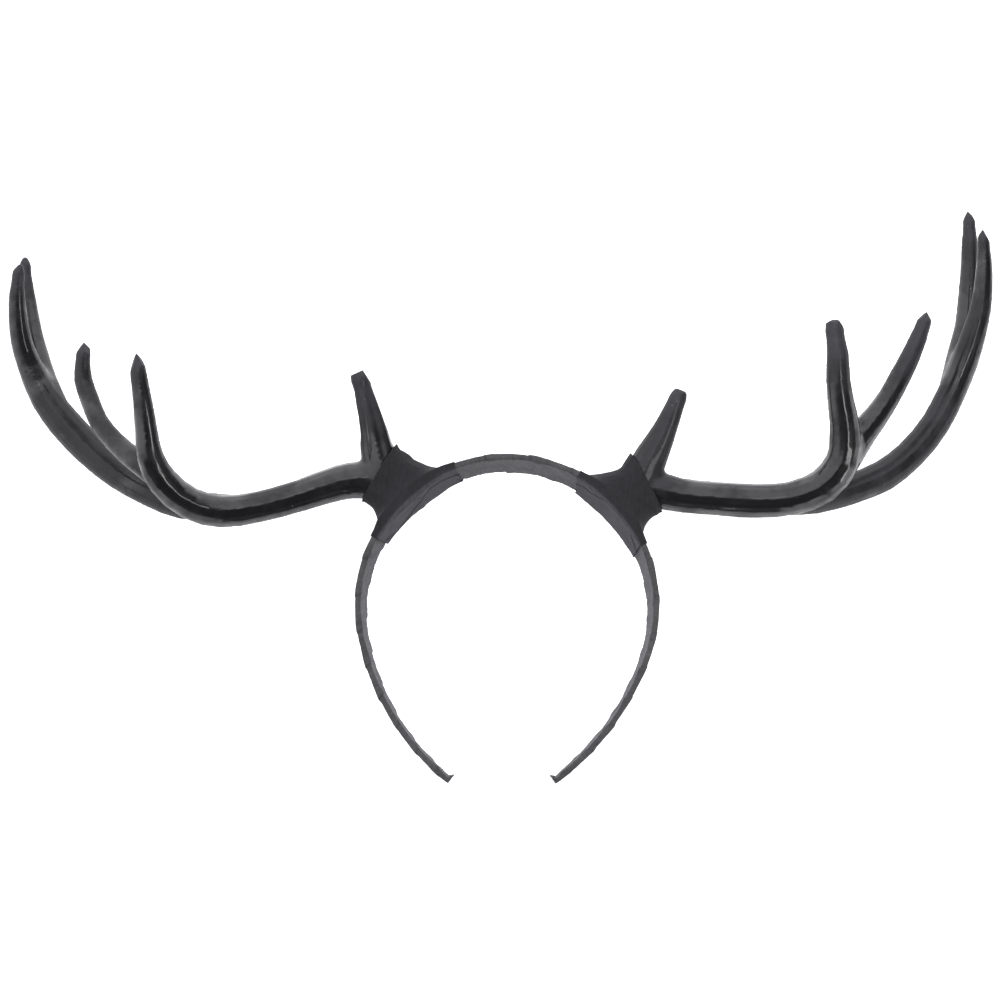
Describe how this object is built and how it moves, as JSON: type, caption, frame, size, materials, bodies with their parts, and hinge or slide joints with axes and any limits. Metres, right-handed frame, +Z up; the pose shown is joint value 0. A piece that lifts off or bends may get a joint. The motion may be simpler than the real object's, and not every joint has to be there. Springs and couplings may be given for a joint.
{
  "type": "antler headband",
  "caption": "Costume headband: a tape-wound hoop, open between its tips, with branching moulded antlers bound to it at their feet.",
  "frame": {"origin": "middle of the underside of the bounding box, on the surface that the headband lies on", "axes": "+X to the right of the front view, +Y from the hoop's tips to its crown, +Z up, where its front faces as it lies on its back"},
  "size_m": [0.4616, 0.2758, 0.0741],
  "materials": {
    "antler": "glossy black moulded plastic with flow marks, small specks and worn matte tips",
    "tape": "matte charcoal cloth tape, wound in overlapping turns with creases"
  },
  "bodies": {
    "root": {"headband": "tape", "left_antler": "antler", "right_antler": "antler", "left_binding": "tape", "right_binding": "tape"}
  },
  "joints": []
}
